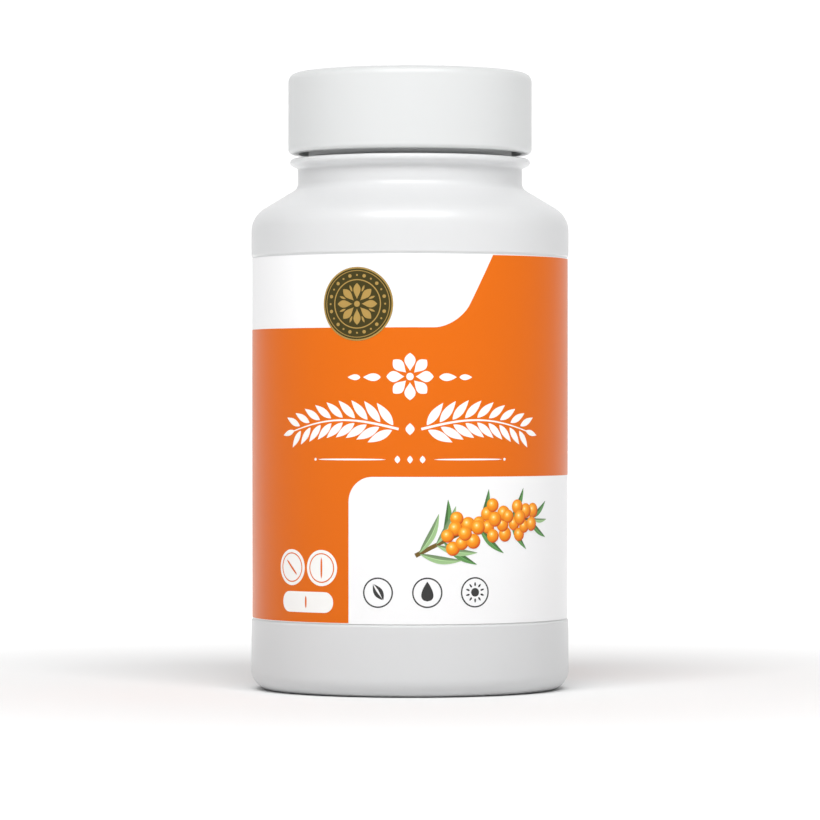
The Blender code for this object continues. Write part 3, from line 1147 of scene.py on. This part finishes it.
class TABLET_OT_bough(bpy.types.Operator):
    """Print the bough with narrow green leaves and round orange fruits"""

    bl_idname = "tablet.bough"
    bl_label = "Bough"

    def execute(self, context):
        colours = context.scene.tablet_colours
        start, end, rise = (0.9, 23.9), (24.4, 29.8), 2.0
        twig_ink = varnished("ink_stem", colours.stem, 0.32, 0.08)
        print_ink(context, stem(start, end, rise, 0.75), "label_bough_stem", twig_ink, 1)
        dark = leaf_ink("ink_leaf", colours.leaf)
        pale = leaf_ink("ink_pale_leaf", colours.pale_leaf)
        leaf = (7.4, 1.3, 0.46, 0.9, 0.5, 20)
        behind = leaf_places(start, end, rise, (0.20, 0.47, 0.74), 58, 0.1, 0.25)
        behind += leaf_places(start, end, rise, (0.93,), 34, 0.1, 0.3)
        print_ink(context, placed(blade(*leaf), behind), "label_bough_leaves", dark, 2)
        before = leaf_places(start, end, rise, (0.03, 0.15), 36, 0.1, 0.1)
        before.append((*along_branch(start, end, rise, 0.96), 0.55))
        print_ink(context, placed(blade(*leaf), before), "label_bough_pale_leaves", pale, 2.4)
        fruit = fruit_ink("ink_fruit", colours.fruit)
        golden_angle = radians(137.5)
        layers = 4
        for layer in range(layers):
            places = []
            for bunch, share in enumerate((0.33, 0.59, 0.85)):
                x, y, _ = along_branch(start, end, rise, share)
                for i in range(layer, 9, layers):
                    reach = 1.13 * sqrt(i + 0.4)
                    a = golden_angle * i + 1.3 * bunch
                    size = 1.0 + 0.07 * sin(2.7 * i + bunch)
                    height = y + 0.92 * reach * sin(a)
                    places.append((x + reach * cos(a), height, 0, size))
            fruits = placed(disc(1.2, sides=28), places)
            name = f"label_bough_fruits_{layer + 1}"
            print_ink(context, fruits, name, fruit, 3 + 0.4 * (layers - 1 - layer))
        return {"FINISHED"}


def area_light(name, power, side):
    """A soft square light in front, to the left (-1) or right (1), that isn't seen itself."""
    data = bpy.data.lights.new(name, "AREA")
    data.energy = power
    data.size = LIGHT_SIZE
    light = bpy.data.objects.new(name, data)
    light.location = (side * LIGHT_PLACE[0], *LIGHT_PLACE[1:])
    way = Vector(LIGHT_AIM) - light.location
    light.rotation_euler = way.to_track_quat("-Z", "Y").to_euler()
    light.visible_camera = False
    bpy.context.collection.objects.link(light)


def studio_floor(setup):
    """A wide pale floor, which glows away from the bottle so that it stays white far off."""
    floor = added("circle", vertices=96, radius=STAGE_RADIUS, fill_type="TRIFAN")
    floor.name = "studio_floor"
    nodes = Nodes("studio_floor")
    where = nodes.place()
    away = nodes.add("VectorMath", {0: where}, operation="LENGTH").outputs["Value"]
    grain = nodes.noise(where, 3)
    floor.data.materials.append(nodes.feed(
        Base_Color=nodes.clouded(grain, setup.floor, 0.005),
        Roughness=0.9,
        Specular_IOR_Level=0.1,
        Emission_Color=(1, 1, 1, 1),
        Emission_Strength=nodes.stepped(away, 0.03, 0.40, setup.glow),
    ))


def studio_backdrop():
    """A white wall all round the floor, which only the camera sees."""
    wall = added(
        "cylinder", vertices=96, radius=STAGE_RADIUS - 0.05, depth=STAGE_HEIGHT,
        end_fill_type="NOTHING", location=(0, 0, 0.5 * STAGE_HEIGHT - 0.1),
    )
    wall.name = "studio_backdrop"
    apply_place(wall)
    for kind in ("diffuse", "glossy", "transmission", "volume_scatter", "shadow"):
        setattr(wall, f"visible_{kind}", False)
    nodes = Nodes("studio_backdrop")
    wall.data.materials.append(nodes.feed(
        Base_Color=(0, 0, 0, 1), Emission_Color=(1, 1, 1, 1), Emission_Strength=1.05
    ))


def light_tent(setup):
    """The world as a light tent: even light, with less of it in front and more behind."""
    nodes = Nodes("light_tent", bpy.data.worlds, "Background")
    way = nodes.add("TexCoord").outputs["Generated"]
    back = nodes.add("SeparateXYZ", {0: way}).outputs["Y"]
    total = setup.sky
    for start, end, weight in ((-0.3, -1.0, setup.sky_front), (0.3, 1.0, setup.sky_back)):
        links = {0: nodes.stepped(back, start, end), 1: weight, 2: total}
        total = nodes.add("Math", links, operation="MULTIPLY_ADD").outputs[0]
    return nodes.feed(Color=(1, 1, 1, 1), Strength=total)


class TABLET_OT_stage(bpy.types.Operator):
    """Set up the pale floor, the soft lights and the camera"""

    bl_idname = "tablet.stage"
    bl_label = "Stage"

    def execute(self, context):
        scene, setup = context.scene, context.scene.tablet_stage
        studio_floor(setup)
        studio_backdrop()
        scene.world = light_tent(setup)
        area_light("key", setup.key, -1)
        area_light("fill", setup.fill, 1)
        camera = bpy.data.objects.new("camera", bpy.data.cameras.new("camera"))
        camera.location = (0, -setup.distance, setup.eye_height)
        camera.rotation_euler = (pi / 2, 0, 0)
        camera.data.lens = setup.lens
        camera.data.sensor_width = 36
        camera.data.clip_start = 0.01
        scene.collection.objects.link(camera)
        scene.camera = camera
        scene.view_settings.view_transform = "Standard"
        scene.view_settings.look = "None"
        scene.cycles.use_denoising = True
        return {"FINISHED"}


class TABLET_PT_panel(bpy.types.Panel):
    """Lists the bottle's pieces, their sizes and their colours"""

    bl_idname = "TABLET_PT_panel"
    bl_label = "Tablet bottle"
    bl_space_type = "VIEW_3D"
    bl_region_type = "UI"
    bl_category = "Tablet bottle"

    def draw(self, context):
        scene = context.scene
        for operator in OPERATORS:
            self.layout.operator(operator.bl_idname)
        for part in GROUPS:
            group, box = getattr(scene, f"tablet_{part}"), self.layout.box()
            for name in group.bl_rna.properties.keys():
                if name not in ("rna_type", "name"):
                    box.prop(group, name)


GROUPS = {
    "bottle": BottleSizes,
    "cap": CapSizes,
    "label": LabelSizes,
    "colours": Colours,
    "stage": StageSetup,
}
OPERATORS = (
    TABLET_OT_bottle, TABLET_OT_cap, TABLET_OT_liner, TABLET_OT_film, TABLET_OT_fields,
    TABLET_OT_seal, TABLET_OT_garland, TABLET_OT_tablets, TABLET_OT_icons, TABLET_OT_bough,
    TABLET_OT_stage,
)


def register():
    for part, group in GROUPS.items():
        bpy.utils.register_class(group)
        setattr(bpy.types.Scene, f"tablet_{part}", bpy.props.PointerProperty(type=group))
    for kind in (*OPERATORS, TABLET_PT_panel):
        bpy.utils.register_class(kind)


def unregister():
    for kind in (TABLET_PT_panel, *reversed(OPERATORS)):
        bpy.utils.unregister_class(kind)
    for part, group in GROUPS.items():
        delattr(bpy.types.Scene, f"tablet_{part}")
        bpy.utils.unregister_class(group)


def main():
    register()
    for operator in OPERATORS:
        getattr(bpy.ops.tablet, operator.bl_idname.removeprefix("tablet."))()


if __name__ == "__main__":
    main()
